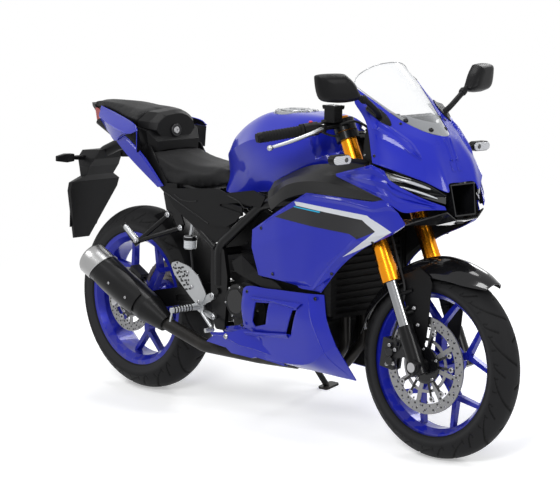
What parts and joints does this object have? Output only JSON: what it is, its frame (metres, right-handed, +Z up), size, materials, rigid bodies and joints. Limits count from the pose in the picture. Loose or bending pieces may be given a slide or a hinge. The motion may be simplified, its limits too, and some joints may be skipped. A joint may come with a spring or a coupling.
{
  "type": "sport motorcycle with full fairing",
  "caption": "Sport motorcycle with full fairing, clip-on bars, upside-down fork, cast wheels, split seats and a side stand, leaning as parked.",
  "frame": {"origin": "on the ground under the middle of the whole machine as parked", "axes": "+X forwards along the machine, +Y to the rider's left, +Z up; the machine leans towards +Y onto its side stand"},
  "size_m": [2.0522, 0.7732, 1.2203],
  "materials": {
    "frame_black": "satin",
    "engine_black": "satin",
    "chain_steel": "satin",
    "axle_steel": "satin",
    "caliper_metal": "satin",
    "plastic_black": "satin",
    "pipe_steel": "satin",
    "muffler_black": "satin",
    "radiator_black": "satin",
    "paint_blue": "gloss",
    "aluminium": "satin",
    "seat_vinyl": "satin",
    "lamp_red": "gloss",
    "lamp_dark": "gloss",
    "screen_clear": "gloss",
    "lamp_clear": "gloss",
    "clamp_black": "satin",
    "fork_gold": "anodised",
    "fork_chrome": "polished",
    "grip_rubber": "matte",
    "gloss_black": "gloss",
    "wheel_blue": "gloss",
    "tyre": "matte",
    "disc_steel": "brushed"
  },
  "bodies": {
    "chassis": {"frame": "frame_black", "seat_rails": "frame_black", "engine": "engine_black", "chain": "chain_steel", "swingarm": "frame_black", "rear_axle": "axle_steel", "rear_caliper": "caliper_metal", "chain_guard": "plastic_black", "rear_shock": "frame_black", "exhaust": "pipe_steel", "muffler": "muffler_black", "radiator": "radiator_black", "fuel_tank": "paint_blue", "filler_ring": "aluminium", "rider_seat": "seat_vinyl", "pillion_seat": "seat_vinyl", "tail_top": "plastic_black", "tail_cowl": "paint_blue", "tail_light": "lamp_red", "plate_holder": "plastic_black", "cowl_stay": "frame_black", "instruments": "plastic_black", "nose_duct": "plastic_black", "headlights": "lamp_dark", "upper_cowl": "paint_blue", "windscreen": "screen_clear", "side_fairings": "paint_blue", "wing_trims": "plastic_black", "belly_pan": "paint_blue", "indicators": "lamp_clear", "mirrors": "plastic_black", "side_covers": "plastic_black", "foot_controls": "aluminium", "pillion_brackets": "frame_black"},
    "steering": {"fork_clamps": "clamp_black", "fork_outer": "fork_gold", "fork_inner": "fork_chrome", "fork_feet": "clamp_black", "front_axle": "axle_steel", "handlebars": "clamp_black", "handgrips": "grip_rubber", "bar_controls": "plastic_black", "hand_levers": "aluminium", "front_caliper": "caliper_metal", "front_mudguard": "gloss_black"},
    "front_wheel": {"rim_front": "wheel_blue", "tyre_front": "tyre", "disc_front": "disc_steel"},
    "rear_wheel": {"rim_rear": "wheel_blue", "tyre_rear": "tyre", "disc_rear": "disc_steel", "sprocket_rear": "disc_steel"},
    "cap_lid": {"fuel_cap": "aluminium"},
    "stand": {"side_stand": "frame_black"}
  },
  "joints": [
    {"name": "steering_turn", "type": "hinge", "parent": "chassis", "child": "steering", "pos_m": [0.44869, -0.04354, 0.80249], "axis": [-0.4219, 0.1652, 0.8915], "range_deg": [-37.6, 30.4]},
    {"name": "front_wheel_turn", "type": "hinge", "parent": "steering", "child": "front_wheel", "pos_m": [0.73359, -0.13647, 0.28789], "axis": [-0.0571, 0.9765, -0.2079], "continuous": true},
    {"name": "rear_wheel_turn", "type": "hinge", "parent": "chassis", "child": "rear_wheel", "pos_m": [-0.64633, -0.13497, 0.31005], "axis": [-0.0001, 0.9833, -0.1822], "continuous": true},
    {"name": "side_stand_fold", "type": "hinge", "parent": "chassis", "child": "stand", "pos_m": [-0.10639, 0.0178, 0.22844], "axis": [0.1302, 0.9252, 0.3565], "range_deg": [0, 100]},
    {"name": "cap_lid_open", "type": "hinge", "parent": "chassis", "child": "cap_lid", "pos_m": [0.15119, -0.00795, 0.99477], "axis": [-0.0001, 0.9833, -0.1822], "range_deg": [0, 90]}
  ]
}
